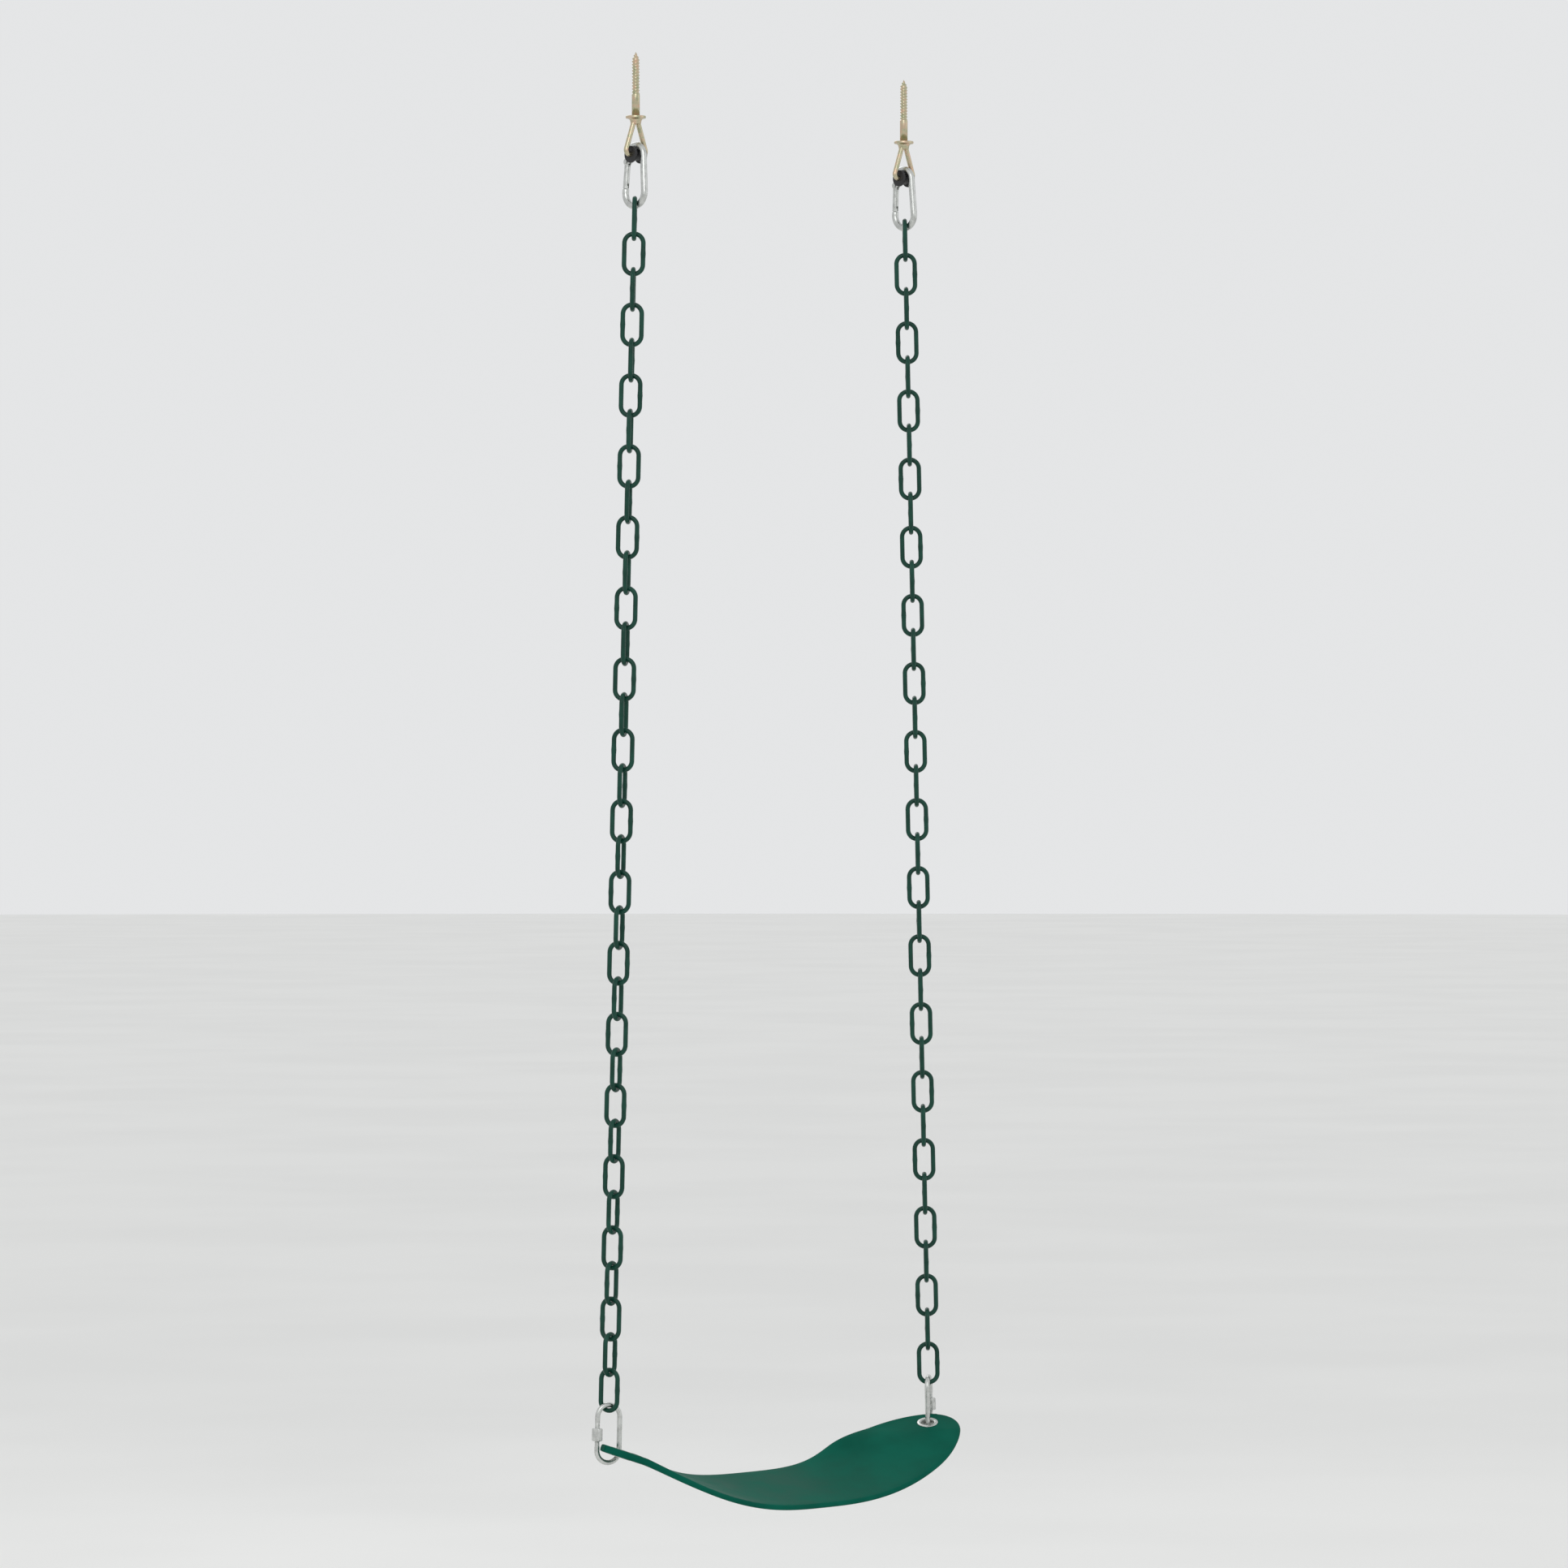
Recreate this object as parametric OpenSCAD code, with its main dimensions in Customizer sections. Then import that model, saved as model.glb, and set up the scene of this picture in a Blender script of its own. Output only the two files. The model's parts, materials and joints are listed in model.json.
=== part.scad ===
// Belt swing seat: a flexible moulded belt hung on two plastic coated chains,
// each with a snap hook, a nylon bushing and a screw-in swing hanger.
// Millimetres. Origin: on the underside of the beam, midway between the hangers.
// +X runs along the beam, +Y points behind the seat, +Z points up.

/* [Hanging] */
// Distance between the two hangers, along the beam
hanger_spacing = 457; // [440:1:480]
// Distance between the two places where the belt hangs
seat_chord = 548; // [540:1:560]

/* [Chain] */
// Inside length of one chain link
link_inner_length = 42.3; // [42:0.1:44]
// Diameter of the coated link wire
link_wire = 5.6; // [5:0.1:6]
// Outside width of one chain link
link_width = 28; // [27:0.5:30]

/* [Hanger] */
// Diameter of the screw shank
shank_d = 9.5; // [8:0.5:10]
// Length of the screw above the flange
shank_length = 76; // [60:1:90]
// Diameter of the flange that meets the beam
flange_d = 24; // [22:1:30]
// Diameter of the wire that forms the eye
eye_wire = 6; // [5.5:0.1:6]

/* [Snap hook] */
// Overall length of the snap hook
hook_length = 80; // [78:1:86]
// Overall width of the snap hook at its wide end
hook_width = 40; // [39:0.5:42]
// Diameter of the snap hook's wire
hook_wire = 8; // [7.5:0.1:8]

/* [Quick link] */
// Overall length of the quick link
quick_length = 74; // [72:1:78]
// Overall width of the quick link
quick_width = 34; // [33:0.5:36]
// Diameter of the quick link's wire
quick_wire = 6; // [5:0.1:6]

/* [Belt] */
// Width of the belt across its middle
belt_width = 145; // [120:1:150]
// Thickness of the belt at its middle
belt_thick = 6.5; // [5:0.1:8]
// Thickness of the belt at its ends
belt_end_thick = 8; // [7:0.1:8]
// How much steeper the belt runs between its middle and its tabs, in degrees
belt_slope = 17.5; // [10:0.5:22]
// Slope of the flat tabs at the belt's ends, in degrees
tab_slope = 18.5; // [10:0.5:20]
// How far the belt's rear edge is lifted at its middle, in degrees
belt_tilt = 11; // [0:0.5:15]
// How far the belt's left end is twisted about the chain, in degrees
left_turn = 27; // [20:1:40]
// How far the belt's right end is twisted the other way, in degrees
right_turn = 41; // [20:1:44]

/* [Hidden] */

zinc = "#c9cbc8";
brass_zinc = "#b8934a";
coated = "#123f33";
moulded = "#155a4a";
nylon = "#1b1b1d";

LEFT = -1;
RIGHT = 1;
touch = 0.3;            // gap left between parts that rest on each other
$fn = 48;

// Hanger
flange_thick = 3;
eye_bar_z = -46;        // centre of the eye's bottom bar
eye_corner = 5;         // bend radius of the eye's corners
eye_bar_half = 10.5;    // half of the bar's straight length
eye_top_half = 3;       // half width of the eye at its neck
eye_top_z = -6;
thread_pitch = 3.6;
thread_depth = 1.1;
plain_shank = 25;
point_length = 9;

// Bushing
bushing_length = 19;
bushing_flange_r = 10;
bushing_flange = 3;
bushing_waist_r = 7;
bushing_clear = 0.08;

// Snap hook, drawn in the YZ plane with the bar's centre at the origin
hook_r = hook_wire / 2;
hook_top_r = 13;                        // bend radius over the bushing
hook_low_r = hook_width / 2 - hook_r;
hook_top_z = bushing_waist_r + touch + hook_r - hook_top_r;
hook_low_z = hook_top_z + hook_top_r + hook_r - hook_length + hook_low_r + hook_r;
hook_splay = asin((hook_low_r - hook_top_r) / (hook_top_z - hook_low_z));
hook_side = (hook_top_z - hook_low_z) * cos(hook_splay);
hook_end_upper = 2;     // where the wire stops above the gate, along the open side
hook_end_lower = hook_side - 4;
gate_pin_at = 7;
gate_r = 3.6;
gate_knuckle_r = 3.9;
gate_half = 3.3;        // half the width of the gate's ears
gate_end = hook_end_lower - 0.6;
tongue_half = 1.5;
slot_half = 1.7;
gate_pin_r = 1.5;
gate_pin_clear = 0.05;
gate_bore_r = 1.8;
gate_bore_end = 26;

// Chain
links_per_chain = 34;
link_r = link_wire / 2;
link_bend = (link_width - link_wire) / 2;
link_half = link_inner_length / 2 + link_r - link_bend;
link_pitch = link_inner_length - touch;
hook_gap = 2.1;         // the first link lies askew in the hook's bend and can't reach its middle
first_link = -(hook_low_z - hook_low_r + hook_r) - hook_gap + link_inner_length / 2;
last_link = first_link + (links_per_chain - 1) * link_pitch;
left_twist = -30;       // the whole left chain is wound this far

// Quick link
quick_r = quick_wire / 2;
quick_bend = (quick_width - quick_wire) / 2;
quick_half = quick_length / 2 - quick_bend - quick_r;
quick_gap = 0.9;         // room for the links to roll on each other
quick_at = last_link + link_inner_length / 2 - quick_gap - quick_wire + quick_length / 2;
quick_open_low = -6;
quick_open_high = 3;
nut_length = 15;
nut_low = -8.5;
nut_flats = 11;
nut_clear = 0.05;
left_quick_turn = -22;
right_quick_turn = 36;

// The belt's middle plane meets each chain's line at this distance down it
belt_above = 1.5;       // how far that is above the middle of the quick link's low bend
belt_drop = quick_at + quick_half - belt_above;
lean = asin((seat_chord - hanger_spacing) / 2 / belt_drop);
belt_z = eye_bar_z - belt_drop * cos(lean);

// Belt
belt_steps = 34;        // rings from the middle to each end
belt_end_over = 8;      // belt beyond the quick link's axis
belt_end_round = 115;   // length over which the ends are rounded
tab_start = 0.84;       // share of the half length where the flat end tab starts
bow_share = 0.3;        // how far the belt's middle line follows the end twist
tip_half = 8;
hole_in = 16;           // from the chain's line to the hole
hole_r = 9.2;
eyelet_clear = 0.05;
eyelet_r = 8;
eyelet_flange_r = 13;
eyelet_flange = 0.8;

function side_x(side) = side * hanger_spacing / 2;

// ---- shared shapes ----

// Wire bent in a circle about Y, in the XZ plane, from angle a to angle b
module bend(radius, wire_r, a, b)
    rotate([90, 0, 0]) rotate([0, 0, a])
        rotate_extrude(angle = b - a, $fn = 96)
            translate([radius, 0]) circle(r = wire_r);

// A weld over the place where a bend meets a straight stretch of wire
seam_over = 0.03;
seam_gap = 0.2;
module seam(wire_r) sphere(r = wire_r + seam_over, $fn = 64);

// Straight wire between two points of the XZ plane, with a seam at its start
module straight(p, q, wire_r) {
    run = q - p;
    translate([p[0], 0, p[1]]) {
        seam(wire_r);
        rotate([0, atan2(run[0], run[1]), 0])
            translate([0, 0, seam_gap]) cylinder(r = wire_r, h = norm(run) - 2 * seam_gap);
    }
}

// Oval link in the XZ plane, centred on the origin
module oval(half, radius, wire_r) {
    for (s = [-1, 1])
        translate([s * radius, 0, -half]) cylinder(r = wire_r, h = 2 * half);
    translate([0, 0, half]) bend(radius, wire_r, 0, 180);
    translate([0, 0, -half]) bend(radius, wire_r, 180, 360);
}

// Puts its children on a chain's line, with the origin at the bushing
module on_chain(side)
    translate([side_x(side), 0, eye_bar_z]) rotate([0, -side * lean, 0]) children();

// ---- hanger and bushing ----

function eye_slant() =
    let (dx = eye_bar_half - eye_top_half, dz = eye_bar_z + eye_corner - eye_top_z)
    atan2(dz, dx) + asin(eye_corner / norm([dx, dz]));

module hanger_eye() {
    turn = eye_slant() + 90;
    low = eye_bar_z + eye_corner;
    straight([-eye_bar_half, eye_bar_z], [eye_bar_half, eye_bar_z], eye_wire / 2);
    translate([eye_bar_half, 0, eye_bar_z]) seam(eye_wire / 2);
    for (s = [-1, 1]) {
        translate([s * eye_bar_half, 0, low])
            bend(eye_corner, eye_wire / 2, s > 0 ? -90 : 180 - turn, s > 0 ? turn : 270);
        straight([s * (eye_bar_half + eye_corner * cos(turn)), low + eye_corner * sin(turn)],
                 [s * eye_top_half, eye_top_z], eye_wire / 2);
    }
    translate([0, 0, eye_top_z - 3]) cylinder(r = 6.4, h = 3 - eye_top_z - flange_thick + 0.01);
}

module hanger_screw() {
    core_r = shank_d / 2 - thread_depth;
    turns = floor((shank_length - plain_shank - point_length) / thread_pitch);
    cylinder(d = shank_d, h = plain_shank);
    rotate_extrude($fn = 64)
        polygon(concat(
            [[0, plain_shank - 1], [core_r, plain_shank - 1]],
            [for (i = [0:turns - 1], v = [[core_r, 0.2], [shank_d / 2 - 0.1, 0.5], [core_r, 0.8]])
                [v[0], plain_shank + (i + v[1]) * thread_pitch]],
            [[core_r, shank_length - point_length], [0.4, shank_length], [0, shank_length]]));
}

module hanger(side)
    color(brass_zinc) translate([side_x(side), 0, 0]) {
        translate([0, 0, -flange_thick]) cylinder(d = flange_d, h = flange_thick, $fn = 64);
        hanger_screw();
        hanger_eye();
    }

module bushing(side)
    color(nylon) translate([side_x(side), 0, eye_bar_z]) rotate([0, 90, 0])
        difference() {
            union() {
                cylinder(r = bushing_waist_r, h = bushing_length, center = true);
                for (s = [-1, 1])
                    translate([0, 0, s * (bushing_length - bushing_flange) / 2])
                        cylinder(r = bushing_flange_r, h = bushing_flange, center = true);
            }
            cylinder(r = eye_wire / 2 + bushing_clear, h = bushing_length + 2, center = true);
        }

// ---- snap hook ----

// Moves to a distance along the hook's open side, with -Z running down the wire
module along_gate(distance)
    translate([0, hook_top_r * cos(hook_splay), hook_top_z + hook_top_r * sin(hook_splay)])
        rotate([hook_splay, 0, 0]) translate([0, 0, -distance]) children();

module hook_wire_run(from, to)
    along_gate(to) cylinder(r = hook_r, h = to - from);

// Seams at both ends of a side, the upper one cut off at a distance down the side
module hook_seams(reach) {
    along_gate(hook_side) seam(hook_r);
    along_gate(0) intersection() {
        seam(hook_r);
        translate([-hook_wire, -hook_wire, -reach]) cube(2 * hook_wire);
    }
}

module snap_hook(side)
    color(zinc) on_chain(side) difference() {
        union() {
            rotate([0, 0, 90]) {
                translate([0, 0, hook_top_z])
                    bend(hook_top_r, hook_r, hook_splay, 180 - hook_splay);
                translate([0, 0, hook_low_z])
                    bend(hook_low_r, hook_r, 180 - hook_splay, 360 + hook_splay);
            }
            hook_seams(hook_end_upper - seam_gap);
            mirror([0, 1, 0]) hook_seams(hook_wire);
            mirror([0, 1, 0]) hook_wire_run(seam_gap, hook_side - seam_gap);
            hook_wire_run(seam_gap, hook_end_upper);
            hook_wire_run(hook_end_lower, hook_side - seam_gap);
            along_gate(gate_pin_at) {
                translate([-tongue_half, -3, 0])
                    cube([2 * tongue_half, 6, gate_pin_at - hook_end_upper + 1]);
                rotate([0, 90, 0]) cylinder(r = 3.2, h = 2 * tongue_half, center = true);
            }
            along_gate(hook_end_lower + 1) translate([-tongue_half, -2.6, 0])
                cube([2 * tongue_half, 5.2, 6]);
        }
        along_gate(gate_pin_at) rotate([0, 90, 0])
            cylinder(r = gate_pin_r, h = 20, center = true);
    }

module snap_gate(side)
    color(zinc) on_chain(side) difference() {
        union() {
            along_gate(gate_end) cylinder(r = gate_r, h = gate_end - gate_pin_at);
            along_gate(gate_pin_at) rotate([0, 90, 0])
                cylinder(r = gate_knuckle_r, h = 2 * gate_half, center = true);
        }
        along_gate(gate_pin_at + 5) translate([-slot_half, -6, 0])
            cube([2 * slot_half, 12, 12]);
        along_gate(gate_end + 1) translate([-slot_half, -6, 0])
            cube([2 * slot_half, 12, 7]);
        along_gate(gate_pin_at) rotate([0, 90, 0])
            cylinder(r = gate_pin_r + gate_pin_clear, h = 20, center = true);
        along_gate(gate_bore_end) cylinder(r = gate_bore_r, h = gate_bore_end - gate_pin_at - 4);
    }

module gate_pin(side)
    color(zinc) on_chain(side) along_gate(gate_pin_at) rotate([0, 90, 0]) {
        cylinder(r = gate_pin_r, h = 7.6, center = true);
        for (s = [-1, 1]) translate([0, 0, s * 4.05]) cylinder(r = 2.3, h = 0.7, center = true);
    }

// Small coil spring inside the gate
spring_wire_r = 0.3;
spring_r = 1.15;
spring_turns = 8;
spring_top = gate_pin_at + 3.7;
spring_low = gate_bore_end - 0.4;

function spring_ring(i, steps) =
    let (t = i / steps, a = 360 * spring_turns * t,
         z = -(spring_top + spring_wire_r + (spring_low - spring_top - 2 * spring_wire_r) * t))
    [for (k = [0:5]) let (b = 60 * k, r = spring_r + spring_wire_r * cos(b))
        [r * cos(a), r * sin(a), z + spring_wire_r * sin(b)]];

// Skin over a list of closed rings, each with the same number of points
module skin(rings) {
    n = len(rings[0]);
    m = len(rings);
    polyhedron(
        points = [for (ring = rings, p = ring) p],
        faces = concat(
            [[for (k = [0:n - 1]) k]],
            [for (i = [0:m - 2], k = [0:n - 1])
                let (a = i * n + k, b = i * n + (k + 1) % n)
                each [[a, a + n, b + n], [a, b + n, b]]],
            [[for (k = [n - 1:-1:0]) (m - 1) * n + k]]));
}

module gate_spring(side)
    color(zinc) on_chain(side) along_gate(0)
        let (steps = 12 * spring_turns)
        skin([for (i = [0:steps]) spring_ring(i, steps)]);

// ---- chain ----

function link_angle(side, k) =
    (k % 2 == 0 ? 45 : -45) + (side < 0 ? left_twist * k / (links_per_chain - 1) : 0);

module chain_pair(side, pair)
    color(coated) on_chain(side)
        for (k = [2 * pair - 2, 2 * pair - 1])
            translate([0, 0, -(first_link + k * link_pitch)])
                rotate([0, 0, link_angle(side, k)])
                    oval(link_half, link_bend, link_r);

// ---- quick link ----

function quick_turn(side) = side < 0 ? left_quick_turn : right_quick_turn;

module at_quick(side)
    on_chain(side) translate([0, 0, -quick_at])
        rotate([0, 0, quick_turn(side)]) children();

module quick_link(side)
    color(zinc) at_quick(side) difference() {
        oval(quick_half, quick_bend, quick_r);
        translate([side * quick_bend - 5, -5, quick_open_low])
            cube([10, 10, quick_open_high - quick_open_low]);
    }

module link_nut(side)
    color(zinc) at_quick(side) translate([side * quick_bend, 0, nut_low])
        difference() {
            cylinder(d = nut_flats / cos(30), h = nut_length, $fn = 6);
            translate([0, 0, -1]) cylinder(r = quick_r + nut_clear, h = nut_length + 2);
        }

// ---- belt ----

belt_half = seat_chord / 2 + 22; // half the belt's length along its curve, near enough

// Share of the way from the middle to an end, for ring i
function belt_u(i) = sin(90 * abs(i) / belt_steps);
// Share of the way from the middle to where the flat tab starts
function belt_w(i) = min(belt_u(i) / tab_start, 1);
function belt_pitch(i) =
    sign(i) * (belt_slope * sin(180 * pow(belt_w(i), 2)) + tab_slope * pow(belt_w(i), 4));
// Share of the end twist reached at ring i, with an even start and finish
function belt_twist(i) = let (t = pow(belt_w(i), 1.6)) t * t * (3 - 2 * t);
function belt_turn(i) = (i < 0 ? -left_turn : right_turn) * belt_twist(i);
function belt_bow(i) = bow_share * (left_turn + right_turn) / 2 * belt_twist(i);
function belt_roll(i) = belt_tilt * (1 - pow(belt_w(i), 3));
function belt_thickness(i) =
    belt_thick + (belt_end_thick - belt_thick) * min(max(belt_u(i) - 0.6, 0) / 0.25, 1);

// Points along the middle of the belt, from its centre to its right end
belt_run = [for (i = 0, p = [0, 0, 0]; i <= belt_steps;
    p = p + (belt_u(i + 1) - belt_u(i)) * belt_half
        * [cos(belt_pitch(i + 0.5)) * cos(belt_bow(i + 0.5)),
           cos(belt_pitch(i + 0.5)) * sin(belt_bow(i + 0.5)), sin(belt_pitch(i + 0.5))],
    i = i + 1) p];
belt_tip = belt_run[belt_steps];

// The belt hangs a little way in from its tip
hang = belt_tip - belt_end_over
    * [cos(tab_slope) * cos(belt_bow(belt_steps)), cos(tab_slope) * sin(belt_bow(belt_steps)),
       sin(tab_slope)];
stretch = seat_chord / 2 / hang[0];

function belt_half_width(i) =
    let (from_tip = (1 - belt_u(i)) * belt_half)
    from_tip >= belt_end_round ? belt_width / 2
        : max(tip_half, belt_width / 2
            * sqrt(1 - pow(1 - from_tip / belt_end_round, 2)));

// Rounded outline across the belt: [across, up]
function belt_section(i) =
    let (t = belt_thickness(i) / 2, w = max(belt_half_width(i) - t, 0.5))
    [for (a = [-90:30:90]) [w + t * cos(a), t * sin(a)],
     for (a = [90:30:270]) [-w + t * cos(a), t * sin(a)]];

// Unit vectors across the belt and out of its upper face
function belt_across(i) =
    let (turn = belt_turn(i), roll = belt_roll(i))
    [-sin(turn) * cos(roll), cos(turn) * cos(roll), sin(roll)];
function belt_up(i) =
    let (pitch = belt_pitch(i), bow = belt_bow(i),
         run = [stretch * cos(pitch) * cos(bow), sign(i) * cos(pitch) * sin(bow), sin(pitch)],
         out = cross(run, belt_across(i)))
    out / norm(out);

function belt_ring(i) =
    let (p = belt_run[abs(i)] - hang, across = belt_across(i), up = belt_up(i))
    [for (v = belt_section(i))
        [sign(i) * (seat_chord / 2 + p[0] * stretch), p[1], belt_z + p[2]]
        + v[0] * across + v[1] * up];

// Puts its children at a belt hole, with +Z out of the tab's upper face
module at_hole(side) {
    y = belt_across(side * belt_steps);
    z = belt_up(side * belt_steps);
    x = cross(y, z);
    inward = -side * hole_in * [cos(quick_turn(side)), sin(quick_turn(side)), 0];
    drop = -(inward * z) / z[2];
    translate([side * seat_chord / 2, 0, belt_z + drop]) translate(inward)
        multmatrix([for (k = [0:2]) [x[k], y[k], z[k], 0]]) children();
}

module seat_belt()
    color(moulded) difference() {
        skin([for (i = [-belt_steps:belt_steps]) belt_ring(i)]);
        for (side = [LEFT, RIGHT])
            at_hole(side) cylinder(r = hole_r, h = 60, center = true);
    }

eyelet_face = belt_end_thick / 2 + eyelet_clear;

module eyelet(side)
    color(zinc) at_hole(side) difference() {
        union() {
            translate([0, 0, -eyelet_face - eyelet_flange])
                cylinder(r = hole_r - eyelet_clear, h = 2 * (eyelet_face + eyelet_flange));
            translate([0, 0, eyelet_face]) cylinder(r = eyelet_flange_r, h = eyelet_flange);
        }
        cylinder(r = eyelet_r, h = 40, center = true);
    }

module eyelet_washer(side)
    color(zinc) at_hole(side) translate([0, 0, -eyelet_face - eyelet_flange])
        difference() {
            cylinder(r = eyelet_flange_r, h = eyelet_flange);
            translate([0, 0, -1]) cylinder(r = hole_r, h = eyelet_flange + 2);
        }

hanger(LEFT);  // hanger_left
hanger(RIGHT);  // hanger_right
bushing(LEFT);  // bushing_left
bushing(RIGHT);  // bushing_right
snap_hook(LEFT);  // snap_hook_left
snap_hook(RIGHT);  // snap_hook_right
snap_gate(LEFT);  // snap_gate_left
snap_gate(RIGHT);  // snap_gate_right
gate_pin(LEFT);  // gate_pin_left
gate_pin(RIGHT);  // gate_pin_right
gate_spring(LEFT);  // gate_spring_left
gate_spring(RIGHT);  // gate_spring_right
quick_link(LEFT);  // quick_link_left
quick_link(RIGHT);  // quick_link_right
link_nut(LEFT);  // link_nut_left
link_nut(RIGHT);  // link_nut_right
seat_belt();
eyelet(LEFT);  // eyelet_left
eyelet(RIGHT);  // eyelet_right
eyelet_washer(LEFT);  // eyelet_washer_left
eyelet_washer(RIGHT);  // eyelet_washer_right
for (pair = [1:17]) {
    chain_pair(LEFT, pair);
    chain_pair(RIGHT, pair);
}
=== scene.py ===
import json
import math

import bmesh
import bpy
from bpy.props import FloatProperty, FloatVectorProperty, PointerProperty
from mathutils import Matrix, Vector


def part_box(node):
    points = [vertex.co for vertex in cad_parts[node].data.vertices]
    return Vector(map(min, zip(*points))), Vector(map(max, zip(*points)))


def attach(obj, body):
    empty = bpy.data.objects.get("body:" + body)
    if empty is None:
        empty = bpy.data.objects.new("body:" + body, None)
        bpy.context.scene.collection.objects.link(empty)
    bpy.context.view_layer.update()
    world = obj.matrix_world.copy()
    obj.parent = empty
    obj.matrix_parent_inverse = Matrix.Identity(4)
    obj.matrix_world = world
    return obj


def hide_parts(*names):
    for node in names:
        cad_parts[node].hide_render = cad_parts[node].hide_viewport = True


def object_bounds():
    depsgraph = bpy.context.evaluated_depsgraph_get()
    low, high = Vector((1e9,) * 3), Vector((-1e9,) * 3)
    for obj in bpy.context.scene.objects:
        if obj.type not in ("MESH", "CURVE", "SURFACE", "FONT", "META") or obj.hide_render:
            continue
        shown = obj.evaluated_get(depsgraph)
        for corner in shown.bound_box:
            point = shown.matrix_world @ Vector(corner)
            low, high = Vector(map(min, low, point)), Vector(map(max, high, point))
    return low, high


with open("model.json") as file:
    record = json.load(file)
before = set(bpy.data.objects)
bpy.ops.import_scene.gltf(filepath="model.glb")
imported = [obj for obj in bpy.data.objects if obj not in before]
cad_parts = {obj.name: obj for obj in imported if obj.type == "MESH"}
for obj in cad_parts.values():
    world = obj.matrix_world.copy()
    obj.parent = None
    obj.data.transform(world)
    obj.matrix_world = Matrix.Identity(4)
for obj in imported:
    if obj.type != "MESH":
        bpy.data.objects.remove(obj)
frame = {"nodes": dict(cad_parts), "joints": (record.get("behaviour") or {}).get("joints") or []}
cad_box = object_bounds()

bl_info = {
    "name": "Belt Swing Seat",
    "version": (1, 0, 0),
    "blender": (4, 5, 0),
    "location": "3D View > Sidebar > Swing",
    "description": "Builds a belt swing seat with its chains, hooks and hangers",
    "category": "Add Mesh",
}

MM = 0.001
SWING_MIDDLE = (cad_box[0] + cad_box[1]) / 2
SIDES = {"left": -1, "right": 1}
PAIRS = 17              # nodes of chain on each side, two links in each
BELT_STEPS = 90         # sections along each half of the belt

joint = {j["name"]: j for j in frame["joints"]}
PIVOT = Vector(joint["left_sway"]["pos_m"])
CONTACT = Vector(joint["seat_level"]["pos_m"])
PITCH_AXIS = Vector(joint["seat_pitch"]["pos_m"])
LEAN = math.atan2(PIVOT.x - CONTACT.x, PIVOT.z - CONTACT.z)


def linear(hex_colour):
    """sRGB hex colour as linear red, green and blue."""
    parts = [int(hex_colour[i:i + 2], 16) / 255 for i in (0, 2, 4)]
    return tuple(p / 12.92 if p <= 0.04045 else ((p + 0.055) / 1.055) ** 2.4 for p in parts)


def size(name, description, millimetres, most=500):
    """A length that a user may change, given in millimetres and held in metres."""
    return FloatProperty(name=name, description=description, default=millimetres * MM,
                         min=0.0001, max=most * MM, unit="LENGTH", precision=4)


def turn(name, description, degrees):
    """An angle that a user may change, given in degrees and held in radians."""
    return FloatProperty(name=name, description=description, default=math.radians(degrees),
                         min=-math.pi, max=math.pi, subtype="ANGLE")


def share(name, description, value):
    """A plain fraction that a user may change."""
    return FloatProperty(name=name, description=description, default=value, min=0, max=1,
                         subtype="FACTOR")


def colour(name, description, hex_colour):
    """A colour that a user may change."""
    return FloatVectorProperty(name=name, description=description, default=linear(hex_colour),
                               size=3, min=0, max=1, subtype="COLOR")


# ---- sizes and colours -------------------------------------------------------------------

class HangerSizes(bpy.types.PropertyGroup):
    shank: size("Shank", "Diameter of the screw shank", 9.5)
    screw: size("Screw", "Length of the screw above the flange", 76)
    plain: size("Plain shank", "Length of the shank below the thread", 25)
    thread_pitch: size("Thread pitch", "Distance between the thread's turns", 3.6)
    thread_depth: size("Thread depth", "Depth of the thread", 1.1)
    point: size("Point", "Length of the screw's point", 9)
    flange: size("Flange", "Diameter of the flange against the beam", 24)
    flange_thick: size("Flange thickness", "Thickness of the flange", 3)
    wire: size("Eye wire", "Diameter of the eye's wire", 6)
    bar_half: size("Bar", "Half of the eye's straight bottom bar", 10.5)
    corner: size("Corner", "Bend radius of the eye's corners", 5)
    neck_half: size("Neck", "Half width of the eye at its neck", 3)
    neck_down: size("Neck drop", "How far the eye's legs start below the beam", 6)


class BushingSizes(bpy.types.PropertyGroup):
    length: size("Length", "Length of the bushing along the bar", 19)
    flange_radius: size("Flange radius", "Radius of the bushing's end flanges", 10)
    flange: size("Flange", "Thickness of each end flange", 3)
    waist_radius: size("Waist radius", "Radius of the groove that the hook sits in", 7)
    bore_radius: size("Bore radius", "Radius of the bore", 3.08)


class HookSizes(bpy.types.PropertyGroup):
    length: size("Length", "Overall length of the snap hook", 80)
    width: size("Width", "Overall width at the wide end", 40)
    wire: size("Wire", "Diameter of the hook's wire", 8)
    top_radius: size("Top bend", "Bend radius over the bushing, at the wire's middle", 13)
    rest: size("Rest", "Height of the hook's inner top above the bar's middle", 7.3)
    upper_end: size("Upper end", "Where the wire stops above the gate", 2)
    lower_end: size("Lower end", "Wire left below the gate, from the low bend's start", 4)
    pin_at: size("Pin", "Distance of the gate's pin from the top bend's end", 7)


class ChainSizes(bpy.types.PropertyGroup):
    inner: size("Inside length", "Inside length of one link", 42.3)
    width: size("Width", "Outside width of one link", 28)
    wire: size("Wire", "Diameter of the coated wire", 5.6)
    weld: size("Weld", "How far the weld swells the coating", 0.35)
    twist: turn("Twist", "How far the whole left chain is wound", -30)


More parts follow.
